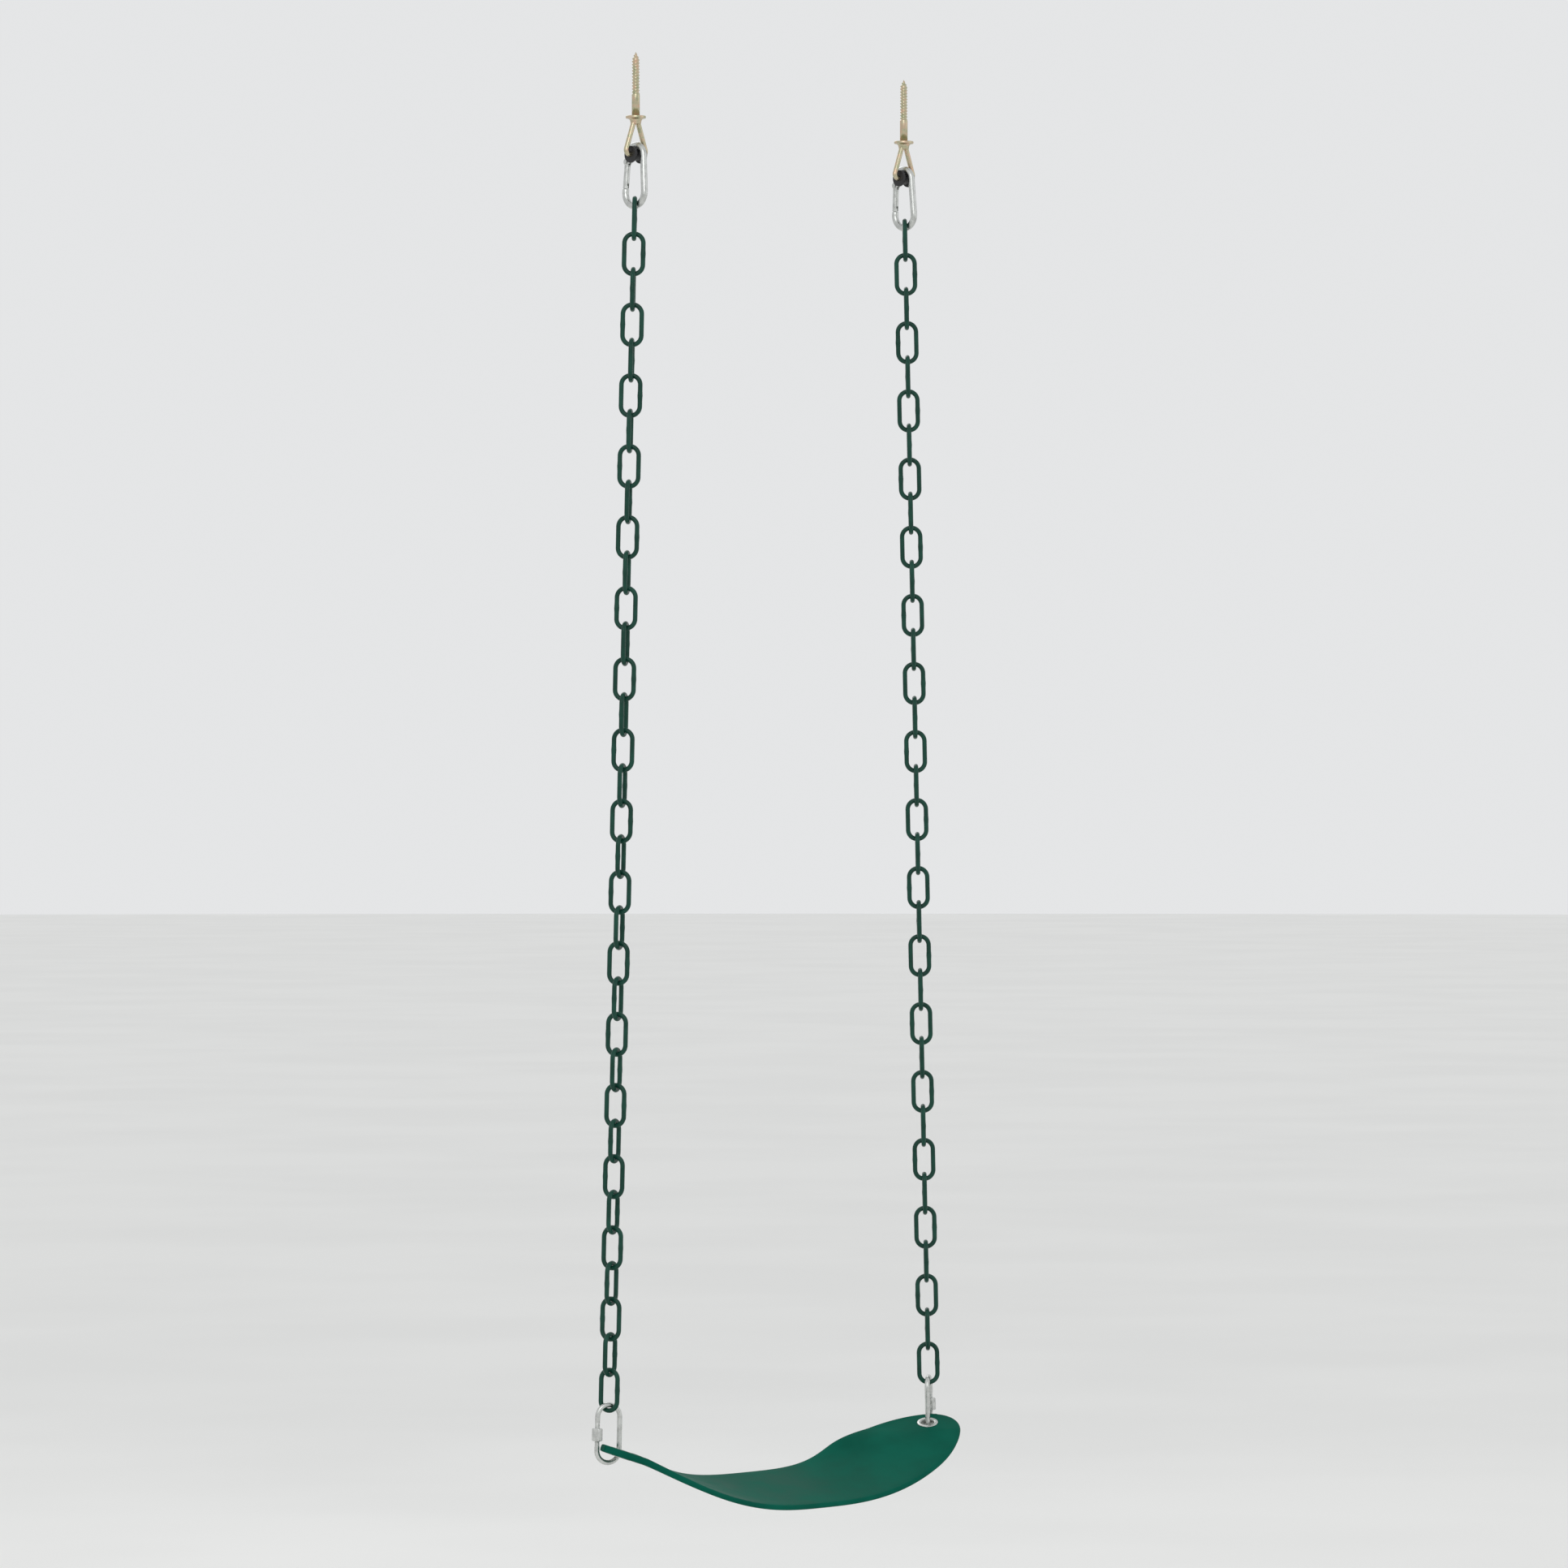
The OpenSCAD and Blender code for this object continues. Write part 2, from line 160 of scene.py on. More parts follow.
class QuickLinkSizes(bpy.types.PropertyGroup):
    length: size("Length", "Overall length of the quick link", 74)
    width: size("Width", "Overall width of the quick link", 34)
    wire: size("Wire", "Diameter of the quick link's wire", 6)
    open_low: size("Opening", "How far the opening reaches below the middle", 6)
    open_high: size("Opening top", "How far the opening reaches above the middle", 3)
    thread_pitch: size("Thread pitch", "Pitch of the thread under the nut", 1)
    nut_length: size("Nut length", "Length of the sleeve nut", 15)
    nut_below: size("Nut below", "How far the nut reaches below the middle", 8.5)
    nut_flats: size("Nut flats", "Width of the sleeve nut across its flats", 11)
    left_turn: turn("Left turn", "Turn of the left quick link about the chain", -22)
    right_turn: turn("Right turn", "Turn of the right quick link about the chain", 36)


class BeltSizes(bpy.types.PropertyGroup):
    width: size("Width", "Width of the belt at its middle", 145)
    thick: size("Thickness", "Thickness of the belt at its middle", 6.5)
    end_thick: size("End thickness", "Thickness of the belt at its ends", 8)
    slope: turn("Slope", "Extra slope of the belt between its middle and its tabs", 17.5)
    tab_slope: turn("Tab slope", "Slope of the flat tabs at the belt's ends", 18.5)
    tilt: turn("Tilt", "How far the rear edge is lifted at the middle", 11)
    left_turn: turn("Left twist", "Twist of the left end about its chain", 27)
    right_turn: turn("Right twist", "Twist of the right end about its chain", 41)
    tab_start: share("Tab start", "Share of the half length where the flat tab starts", 0.84)
    bow: share("Bow", "How far the middle line follows the twist", 0.3)
    over: size("Overhang", "Belt beyond the chain's line", 8)
    round: size("Rounding", "Length over which the ends are rounded", 115)
    tip_half: size("Tip", "Half width of the belt's very end", 8)
    above: size("Rise", "Belt's middle plane above the middle of the link's low bend", 1.5)
    rim: size("Rim", "How far the moulded rim stands up", 0.5)
    rim_width: size("Rim width", "Width of the moulded rim", 7)
    hole_in: size("Hole", "Distance of the hole from the chain's line", 16)
    hole_radius: size("Hole radius", "Radius of the hole in the belt", 9.2)
    eyelet_radius: size("Eyelet radius", "Radius of the eyelet's bore", 8)
    eyelet_flange: size("Eyelet flange", "Radius of the eyelet's flange", 13)
    eyelet_thick: size("Eyelet thickness", "Thickness of the eyelet's flange", 0.8)
    eyelet_clear: size("Eyelet clearance", "Room between the eyelet and the belt", 0.05)


class SwingColours(bpy.types.PropertyGroup):
    belt: colour("Belt", "Moulded belt", "0C5646")
    chain: colour("Chain", "Dipped coating on the chain", "123F33")
    zinc: colour("Zinc", "Bright zinc plate", "C9CBC8")
    yellow: colour("Yellow zinc", "Pale yellow passivated zinc plate", "C4BA9E")
    nylon: colour("Nylon", "Black moulded nylon", "1B1B1D")
    floor: colour("Floor", "Studio floor", "F4F4F2")


class StudioSizes(bpy.types.PropertyGroup):
    azimuth: turn("Camera azimuth", "Camera's place round the swing", -45)
    distance: size("Camera distance", "Camera's distance from the swing", 8300, 20000)
    floor_gap: size("Floor gap", "Clear height under the seat", 420, 2000)


# ---- mesh making -------------------------------------------------------------------------

def piece(name, points, faces, place=None):
    """A mesh object from points in metres, smooth shaded, moved to its place."""
    mesh = bpy.data.meshes.new(name)
    mesh.from_pydata([tuple(p) for p in points], [], faces)
    if place is not None:
        mesh.transform(place)
    mesh.validate()
    mesh.update()
    solid = bmesh.new()
    solid.from_mesh(mesh)
    bmesh.ops.recalc_face_normals(solid, faces=solid.faces)
    solid.to_mesh(mesh)
    solid.free()
    mesh.shade_smooth()
    thing = bpy.data.objects.new(name, mesh)
    bpy.context.scene.collection.objects.link(thing)
    return thing


def ring_faces(rings, around, closed):
    """Quads between rings of points, with end caps unless the rings close on themselves."""
    last = rings if closed else rings - 1
    quads = []
    for i in range(last):
        for k in range(around):
            this, after = i * around, (i + 1) % rings * around
            beside = (k + 1) % around
            quads.append((this + k, this + beside, after + beside, after + k))
    if not closed:
        quads.append(tuple(range(around - 1, -1, -1)))
        quads.append(tuple(range((rings - 1) * around, rings * around)))
    return quads


def swept_wire(path, radii, around=20, closed=False):
    """Points and faces of round wire along a flat path in the XZ plane."""
    points = []
    count = len(path)
    for i, (p, radius) in enumerate(zip(path, radii)):
        before = path[(i - 1) % count] if closed or i else path[0]
        after = path[(i + 1) % count] if closed or i < count - 1 else path[-1]
        along = (Vector(after) - Vector(before)).normalized()
        across = Vector((along.z, 0, -along.x))
        for k in range(around):
            a = 2 * math.pi * k / around
            points.append(Vector(p) + radius * (math.cos(a) * across
                                                + Vector((0, math.sin(a), 0))))
    return points, ring_faces(count, around, closed)


def rounding(centre, radius, start, end, steps):
    """Rounded corner of an outline of (radius, height), from start to end in degrees."""
    turns = [math.radians(start + (end - start) * i / steps) for i in range(steps + 1)]
    return [(centre[0] + radius * math.cos(a), centre[1] + radius * math.sin(a)) for a in turns]


def circle(radius, height, around):
    """Points of a level circle about Z."""
    return [(radius * math.cos(2 * math.pi * k / around),
             radius * math.sin(2 * math.pi * k / around), height) for k in range(around)]


def turned(profile, around=64, closed=False):
    """Points and faces of an outline of (radius, height) turned about Z."""
    points = [p for radius, height in profile for p in circle(radius, height, around)]
    return points, ring_faces(len(profile), around, closed)


def arc(centre, radius, start, end, steps):
    """Points of an arc in the XZ plane, from start to end in radians."""
    return [Vector((centre[0] + radius * math.cos(a), 0, centre[1] + radius * math.sin(a)))
            for a in (start + (end - start) * i / steps for i in range(steps + 1))]


def stretch_between(a, b, steps):
    """Points strictly between two points."""
    return [a + (b - a) * i / steps for i in range(1, steps)]


def rounded_box_ring(low_r, high_r, low, high, bevel):
    """Outline of a turned ring with rounded corners, as a closed loop of (radius, height)."""
    corners = ((high_r - bevel, low + bevel, -90), (high_r - bevel, high - bevel, 0),
               (low_r + bevel, high - bevel, 90), (low_r + bevel, low + bevel, 180))
    return [p for r, z, start in corners for p in rounding((r, z), bevel, start, start + 90, 4)]


def join_parts(name, parts, place=None):
    """One piece from several lots of points and faces."""
    points, faces = [], []
    for part_points, part_faces in parts:
        faces += [tuple(i + len(points) for i in face) for face in part_faces]
        points += [Vector(p) for p in part_points]
    return piece(name, points, faces, place)


def moved(part, matrix):
    """Points and faces with the points moved."""
    return [matrix @ Vector(p) for p in part[0]], part[1]


def crisp(thing, degrees):
    """Keeps edges sharper than this angle sharp in the shading."""
    mesh = thing.data
    edge_faces = {}
    for polygon in mesh.polygons:
        for key in polygon.edge_keys:
            edge_faces.setdefault(key, []).append(polygon.normal)
    for edge in mesh.edges:
        normals = edge_faces.get(tuple(sorted(edge.vertices)), [])
        if len(normals) == 2 and normals[0].angle(normals[1], 0) > math.radians(degrees):
            edge.use_edge_sharp = True


def on_chain(side, drop=0.0, about=0.0):
    """The place at a distance down a chain's line, turned about that line."""
    place = Matrix.Translation((-side * PIVOT.x, 0, PIVOT.z))
    place = place @ Matrix.Rotation(-side * LEAN, 4, "Y")
    return place @ Matrix.Translation((0, 0, -drop)) @ Matrix.Rotation(about, 4, "Z")


def chain_distance(height):
    """Distance down a chain's line to a height in the frame."""
    return (PIVOT.z - height) / math.cos(LEAN)


def middle_height(node):
    """Height of the middle of a CAD node's box."""
    low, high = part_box(node)
    return (low.z + high.z) / 2


def dress(thing, body, nodes, material):
    """Puts a piece on its body, in place of its CAD nodes, in its own material."""
    thing.data.materials.clear()
    thing.data.materials.append(material)
    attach(thing, body)
    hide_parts(*nodes)


# ---- materials ---------------------------------------------------------------------------

def add(material, kind, links=None, stops=(), output=0, **settings):
    """Adds a shader node, sets its inputs, properties and colour stops, links its inputs by
    name and gives back one of its outputs."""
    tree = material.node_tree
    made = tree.nodes.new(kind)
    for key, value in settings.items():
        if key in made.inputs:
            made.inputs[key].default_value = value
        else:
            setattr(made, key, value)
    for stop, (place, value) in zip(made.color_ramp.elements if stops else (), stops):
        stop.position = place
        stop.color = (*value, 1) if isinstance(value, tuple) else (value, value, value, 1)
    for socket, source in (links or {}).items():
        tree.links.new(source, made.inputs[socket])
    return made.outputs[output]


def new_material(name, **settings):
    """A material, with the constants set on its principled shader, and the coordinates for
    its patterns, or no coordinates if the material is there already."""
    found = bpy.data.materials.get(name)
    if found:
        return found, None
    material = bpy.data.materials.new(name)
    material.use_nodes = True
    shader = material.node_tree.nodes["Principled BSDF"]
    for key, value in settings.items():
        shader.inputs[key.replace("_", " ")].default_value = value
    return material, add(material, "ShaderNodeTexCoord", output="Object")


def coat(material, sources):
    """Links patterns to the principled shader's inputs, by name."""
    shader = material.node_tree.nodes["Principled BSDF"]
    for socket, source in sources.items():
        material.node_tree.links.new(source, shader.inputs[socket])


def mottle(material, pattern, colours, roughness, start=0.35, end=0.65):
    """Takes the colour and the roughness from one value to another where a pattern goes from
    start to end."""
    for socket, (low, high) in (("Base Color", colours), ("Roughness", roughness)):
        ramp = add(material, "ShaderNodeValToRGB", {"Fac": pattern}, ((start, low), (end, high)))
        coat(material, {socket: ramp})


def blobs(millimetres):
    """Noise scale that makes blobs about this many millimetres across."""
    return 1 / (millimetres * MM)


def shade(rgb, factor):
    """A colour made darker or lighter."""
    return tuple(min(1.0, c * factor) for c in rgb)


def moulded_polymer(rgb):
    """Soft moulded belt polymer: an even, nearly matt green, a fine eggshell grain from the
    mould, and a faint dusty bloom that lifts the colour in patches. The specular level is far
    below a real polymer's, or the pale room would wash the colour out."""
    material, where = new_material("moulded_belt_polymer", Specular_IOR_Level=0.012, IOR=1.5)
    if where is None:
        return material
    bloom = add(material, "ShaderNodeTexNoise", {"Vector": where}, Scale=blobs(55), Detail=3)
    grain = add(material, "ShaderNodeTexNoise", {"Vector": where}, Scale=blobs(1.6), Detail=4,
                Roughness=0.6)
    mottle(material, bloom, (shade(rgb, 0.9), shade(rgb, 1.14)), (0.40, 0.50))
    bump = add(material, "ShaderNodeBump", {"Height": grain}, Strength=0.5, Distance=0.12 * MM)
    coat(material, {"Normal": bump})
    return material


def dipped_plastisol(rgb):
    """Vinyl plastisol dipped over steel chain: thick and dark, slightly wavy where it ran
    before it set, and rubbed duller in small patches. Its gloss is held below a real dip's,
    as the belt's is."""
    material, where = new_material("dipped_plastisol", Specular_IOR_Level=0.2, IOR=1.52)
    if where is None:
        return material
    runs = add(material, "ShaderNodeTexNoise", {"Vector": where}, Scale=blobs(7), Detail=2)
    rubbed = add(material, "ShaderNodeTexNoise", {"Vector": where}, Scale=blobs(16), Detail=3)
    mottle(material, rubbed, (shade(rgb, 0.85), shade(rgb, 1.25)), (0.26, 0.42), 0.4, 0.7)
    bump = add(material, "ShaderNodeBump", {"Height": runs}, Strength=0.5, Distance=0.25 * MM)
    coat(material, {"Normal": bump})
    return material


def bright_zinc(rgb):
    """Electroplated bright zinc on steel: silvery, with a soft cloudy spangle. Its grain is
    finer than can be seen, so it is drawn coarser, to blur the reflections."""
    material, where = new_material("bright_zinc_plate", Metallic=1.0)
    if where is None:
        return material
    cloud = add(material, "ShaderNodeTexNoise", {"Vector": where}, Scale=blobs(5), Detail=3)
    grain = add(material, "ShaderNodeTexNoise", {"Vector": where}, Scale=blobs(0.9), Detail=2)
    mottle(material, cloud, (shade(rgb, 0.84), shade(rgb, 1.08)), (0.22, 0.38))
    bump = add(material, "ShaderNodeBump", {"Height": grain}, Strength=0.35, Distance=0.04 * MM)
    coat(material, {"Normal": bump})
    return material


def yellow_zinc(rgb):
    """Zinc plate with a yellow chromate dip: pale brass, with olive and rosy clouds where the
    chromate film is thicker or thinner."""
    material, where = new_material("yellow_chromate_zinc", Metallic=1.0)
    if where is None:
        return material
    film = add(material, "ShaderNodeTexNoise", {"Vector": where}, Scale=blobs(6), Detail=3)
    grain = add(material, "ShaderNodeTexNoise", {"Vector": where}, Scale=blobs(1.0), Detail=2)
    clouds = add(material, "ShaderNodeValToRGB", {"Fac": film})
    olive = (rgb[0] * 0.74, rgb[1] * 0.86, rgb[2] * 0.8, 1)
    rosy = (min(1, rgb[0] * 1.22), rgb[1] * 0.92, rgb[2] * 0.95, 1)
    stops = clouds.node.color_ramp.elements
    stops[0].position, stops[0].color = 0.3, olive
    stops[1].position, stops[1].color = 0.72, rosy
    stops.new(0.5).color = (*rgb, 1)
    gloss = add(material, "ShaderNodeValToRGB", {"Fac": film}, ((0.35, 0.24), (0.65, 0.36)))
    bump = add(material, "ShaderNodeBump", {"Height": grain}, Strength=0.4, Distance=0.05 * MM)
    coat(material, {"Base Color": clouds, "Roughness": gloss, "Normal": bump})
    return material


def black_nylon(rgb):
    """Injection moulded nylon: near black, waxy rather than glossy, with a fine even grain."""
    material, where = new_material("moulded_black_nylon", Specular_IOR_Level=0.45, IOR=1.53)
    if where is None:
        return material
    grain = add(material, "ShaderNodeTexNoise", {"Vector": where}, Scale=blobs(0.8), Detail=3)
    worn = add(material, "ShaderNodeTexNoise", {"Vector": where}, Scale=blobs(4), Detail=2)
    mottle(material, worn, (shade(rgb, 0.8), shade(rgb, 1.5)), (0.42, 0.58))
    bump = add(material, "ShaderNodeBump", {"Height": grain}, Strength=0.5, Distance=0.06 * MM)
    coat(material, {"Normal": bump})
    return material


def spring_steel():
    """Drawn spring wire: darker than plate, with a faint clouding."""
    material, where = new_material("drawn_spring_steel", Metallic=1.0)
    if where is None:
        return material
    clouding = add(material, "ShaderNodeTexNoise", {"Vector": where}, Scale=blobs(1.2), Detail=2)
    steel = linear("8E9092")
    mottle(material, clouding, (shade(steel, 0.85), shade(steel, 1.1)), (0.25, 0.36))
    return material


def matte_floor(rgb):
    """Painted studio floor: pale, matte and almost even, with a broad soft mottling."""
    material, where = new_material("matte_studio_floor", Specular_IOR_Level=0.2)
    if where is None:
        return material
    patches = add(material, "ShaderNodeTexNoise", {"Vector": where}, Scale=blobs(900), Detail=2)
    mottle(material, patches, (shade(rgb, 0.97), shade(rgb, 1.0)), (0.75, 0.85))
    return material


# ---- hanger and bushing ------------------------------------------------------------------

def screw_part(sizes):
    """A wood screw turned about Z: plain shank, then a helical thread that fades at the point."""
    around, step = 48, 0.4 * MM
    run_in = 2 * MM                 # height over which the thread grows out of the shank
    tooth_half = 0.3                # half of a thread's tooth, as a share of the pitch
    blunt = 0.05                    # share of the radius left at the very point
    radius = sizes.shank / 2
    core = radius - sizes.thread_depth
    levels = int((sizes.screw - sizes.plain) / step)
    heights = [0.0, sizes.plain - run_in]
    heights += [sizes.plain - run_in / 2 + step * i for i in range(levels + 3)]
    points = []
    for height in heights:
        grown = min(1.0, max(0.0, (height - sizes.plain) / run_in))
        taper = min(1.0, max(0.0, sizes.screw - height) / sizes.point)
        base = (radius + (core - radius) * grown) * max(taper, blunt)
        for k in range(around):
            a = 2 * math.pi * k / around
            phase = (height / sizes.thread_pitch - k / around) % 1.0
            tooth = max(0.0, 1 - abs(phase - 0.5) / tooth_half)
            r = min(radius, base + sizes.thread_depth * tooth * grown * min(1, taper * 1.6))
            points.append((r * math.cos(a), r * math.sin(a), min(height, sizes.screw)))
    return points, ring_faces(len(heights), around, False)


def eye_path(sizes):
    """Middle line of the triangular eye, from the neck round the bottom bar and back."""
    bar = PIVOT.z
    low = bar + sizes.corner
    top = -sizes.neck_down
    dx, dz = sizes.bar_half - sizes.neck_half, low - top
    lean = math.atan2(dz, dx) + math.asin(sizes.corner / math.hypot(dx, dz)) + math.pi / 2
    right = arc((sizes.bar_half, low), sizes.corner, -math.pi / 2, lean, 14)
    half = stretch_between(Vector((0, 0, bar)), right[0], 8) + right
    half += stretch_between(right[-1], Vector((sizes.neck_half, 0, top)), 12)
    half.append(Vector((sizes.neck_half, 0, top)))
    mirrored = [Vector((-p.x, 0, p.z)) for p in reversed(half)]
    return mirrored + [Vector((0, 0, bar))] + half


def flange_outline(sizes):
    """Outline of the flange, with the neck below it that grips the eye's legs."""
    thick, edge, middle = sizes.flange_thick, 0.8 * MM, 0.2 * MM
    rim = rounding((sizes.flange / 2 - edge, edge - thick), edge, -90, 0, 6)
    rim += [(r, -thick - z) for r, z in reversed(rim)]
    neck = [(middle, -10 * MM), (5.0 * MM, -10 * MM), (6.2 * MM, -9.2 * MM),
            (6.5 * MM, -7 * MM), (7.2 * MM, -4.6 * MM), (9.5 * MM, -3.2 * MM)]
    return neck + rim + [(sizes.shank / 2, 0), (middle, 0)]


class SWING_OT_hangers(bpy.types.Operator):
    """Build both screw-in hangers with their flanges and triangular eyes"""
    bl_idname = "swing.hangers"
    bl_label = "Hangers"

    def execute(self, context):
        sizes = context.scene.swing_hanger
        finish = yellow_zinc(tuple(context.scene.swing_colours.yellow))
        path = eye_path(sizes)
        parts = [screw_part(sizes), turned(flange_outline(sizes)),
                 swept_wire(path, [sizes.wire / 2] * len(path), 24)]
        for name, side in SIDES.items():
            place = Matrix.Translation((-side * PIVOT.x, 0, 0))
            hanger = join_parts(f"screw_hanger_{name}", parts, place)
            dress(hanger, "hangers", [f"hanger_{name}"], finish)
        return {"FINISHED"}


class SWING_OT_bushings(bpy.types.Operator):
    """Build the nylon spools that turn on the hangers' bars"""
    bl_idname = "swing.bushings"
    bl_label = "Bushings"

    def execute(self, context):
        sizes = context.scene.swing_bushing
        edge, fillet, face = 0.7 * MM, 0.8 * MM, 0.8 * MM
        half, outer, bore = sizes.length / 2, sizes.flange_radius, sizes.bore_radius
        inner = half - sizes.flange
        side = [(bore, half), (bore + face, half)]
        side += rounding((outer - edge, half - edge), edge, 90, 0, 5)
        side += rounding((outer - edge, inner + edge), edge, 0, -90, 5)
        side += rounding((sizes.waist_radius + fillet, inner - fillet), fillet, 90, 180, 5)
        spool_part = turned(side + [(r, -z) for r, z in reversed(side)], closed=True)
        finish = black_nylon(tuple(context.scene.swing_colours.nylon))
        for name, way in SIDES.items():
            place = Matrix.Translation((-way * PIVOT.x, 0, PIVOT.z))
            place = place @ Matrix.Rotation(math.pi / 2, 4, "Y")
            spool = join_parts(f"nylon_spool_{name}", [spool_part], place)
            dress(spool, "bushings", [f"bushing_{name}"], finish)
        return {"FINISHED"}


# ---- snap hook ---------------------------------------------------------------------------

def hook_lines(sizes):
    """The hook's bends and splay: top and low centres, radii and the sides' slant."""
    wire = sizes.wire / 2
    top_r = sizes.top_radius
    low_r = sizes.width / 2 - wire
    top_z = sizes.rest + wire - top_r
    low_z = top_z + top_r + wire - sizes.length + low_r + wire
    splay = math.asin((low_r - top_r) / (top_z - low_z))
    return top_z, low_z, top_r, low_r, splay


def along_side(sizes, distance):
    """A point on the hook's open side, at a distance from the top bend's end."""
    top_z, low_z, top_r, low_r, splay = hook_lines(sizes)
    start = Vector((top_r * math.cos(splay), 0, top_z + top_r * math.sin(splay)))
    return start + distance * Vector((math.sin(splay), 0, -math.cos(splay)))


def plate(outline, half):
    """A flat plate in the XZ plane, with its edges bevelled a little."""
    bevel = 0.35 * MM
    centre = sum((Vector(p) for p in outline), Vector()) / len(outline)
    points = []
    for depth, inset in ((-half, bevel), (-half + bevel, 0), (half - bevel, 0), (half, bevel)):
        for p in outline:
            out = Vector(p) - centre
            point = centre + out * (1 - inset / max(out.length, bevel))
            points.append(Vector((point.x, depth, point.z)))
    return points, ring_faces(4, len(outline), False)


def capsule(start, end, radius_start, radius_end):
    """Outline round two points with round ends."""
    along = (end - start).normalized()
    heading = math.atan2(along.z, along.x)
    loop = arc((end.x, end.z), radius_end, heading - math.pi / 2, heading + math.pi / 2, 12)
    loop += arc((start.x, start.z), radius_start, heading + math.pi / 2,
                heading + 3 * math.pi / 2, 12)
    return loop


class SWING_OT_hooks(bpy.types.Operator):
    """Build both snap hook bodies, and finish the gates, pins and springs that they carry"""
    bl_idname = "swing.hooks"
    bl_label = "Snap hooks"

    def execute(self, context):
        sizes = context.scene.swing_hook
        zinc = bright_zinc(tuple(context.scene.swing_colours.zinc))
        top_z, low_z, top_r, low_r, splay = hook_lines(sizes)
        gate_low = (top_z - low_z) * math.cos(splay) - sizes.lower_end
        chamfer = 0.6 * MM
        plate_half = 1.5 * MM           # half the thickness of the ear and the nose
        top = arc((0, top_z), top_r, splay, math.pi - splay, 26)
        low = arc((0, low_z), low_r, math.pi - splay, 2 * math.pi + splay, 34)
        path = [along_side(sizes, sizes.upper_end), along_side(sizes, sizes.upper_end - chamfer)]
        path += top + stretch_between(top[-1], low[0], 10) + low
        path += [along_side(sizes, gate_low + chamfer), along_side(sizes, gate_low)]
        radii = [sizes.wire / 2] * len(path)
        radii[0] = radii[-1] = sizes.wire / 2 - chamfer
        ear = capsule(along_side(sizes, 1.0 * MM), along_side(sizes, sizes.pin_at),
                      3.0 * MM, 3.2 * MM)
        nose = capsule(along_side(sizes, gate_low + 2 * MM), along_side(sizes, gate_low - 3 * MM),
                       2.6 * MM, 2.4 * MM)
        parts = [swept_wire(path, radii, 28), plate(ear, plate_half), plate(nose, plate_half)]
        turn_to_yz = Matrix.Rotation(math.pi / 2, 4, "Z")
        for name, side in SIDES.items():
            hook = join_parts(f"snap_hook_body_{name}", parts, on_chain(side) @ turn_to_yz)
            dress(hook, f"{name}_chain", [f"snap_hook_{name}"], zinc)
            for node in (f"snap_gate_{name}", f"gate_pin_{name}"):
                finish_node(node, zinc)
            finish_node(f"gate_spring_{name}", spring_steel())
        return {"FINISHED"}


def finish_node(node, material):
    """Gives a CAD node that stays its material, with shading smooth except at its edges."""
    thing = frame["nodes"][node]
    thing.data.materials.clear()
    thing.data.materials.append(material)
    thing.data.shade_smooth()
    crisp(thing, 35)


# ---- chain -------------------------------------------------------------------------------

def oval_path(half, bend):
    """Closed middle line of an oval link, starting at the foot of its right leg."""
    leg_steps, bend_steps = 10, 22
    leg = [-half + 2 * half * i / leg_steps for i in range(leg_steps)]
    right = [Vector((bend, 0, z)) for z in leg]
    top = arc((0, half), bend, 0, math.pi, bend_steps)[:-1]
    left = [Vector((-bend, 0, -z)) for z in leg]
    low = arc((0, -half), bend, math.pi, 2 * math.pi, bend_steps)[:-1]
    return right + top + left + low


def coated_link(sizes):
    """One dipped link, its coating swollen over the weld in the middle of its right leg."""
    weld_reach = 3.5 * MM
    wire = sizes.wire / 2
    bend = (sizes.width - sizes.wire) / 2
    path = oval_path(sizes.inner / 2 + wire - bend, bend)
    radii = [wire + sizes.weld * (math.exp(-(p.z / weld_reach) ** 2) if p.x > bend * 0.9 else 0)
             for p in path]
    return swept_wire(path, radii, 20, True)


class SWING_OT_chains(bpy.types.Operator):
    """Build the coated links of both chains, two to a piece"""
    bl_idname = "swing.chains"
    bl_label = "Chains"

    def execute(self, context):
        sizes = context.scene.swing_chain
        finish = dipped_plastisol(tuple(context.scene.swing_colours.chain))
        link = coated_link(sizes)
        for name, side in SIDES.items():
            first = chain_distance(middle_height(f"chain_{name}_1"))
            last = chain_distance(middle_height(f"chain_{name}_{PAIRS}"))
            pitch = (last - first) / (2 * PAIRS - 2)
            for pair in range(1, PAIRS + 1):
                parts = []
                for k in (2 * pair - 2, 2 * pair - 1):
                    angle = math.radians(45 if k % 2 == 0 else -45)
                    if side < 0:
                        angle += sizes.twist * k / (2 * PAIRS - 1)
                    if k % 4 > 1:       # so that the welds don't all lie on one side
                        angle += math.pi
                    drop = first + (k - 0.5) * pitch
                    parts.append(moved(link, on_chain(side, drop, angle)))
                links = join_parts(f"coated_links_{name}_{pair}", parts)
                dress(links, f"{name}_chain", [f"chain_{name}_{pair}"], finish)
        return {"FINISHED"}


# ---- quick link --------------------------------------------------------------------------

def quick_place(sizes, name):
    """Middle of a quick link, turned about its chain."""
    side = SIDES[name]
    about = sizes.left_turn if side < 0 else sizes.right_turn
    return on_chain(side, chain_distance(middle_height(f"quick_link_{name}")), about)


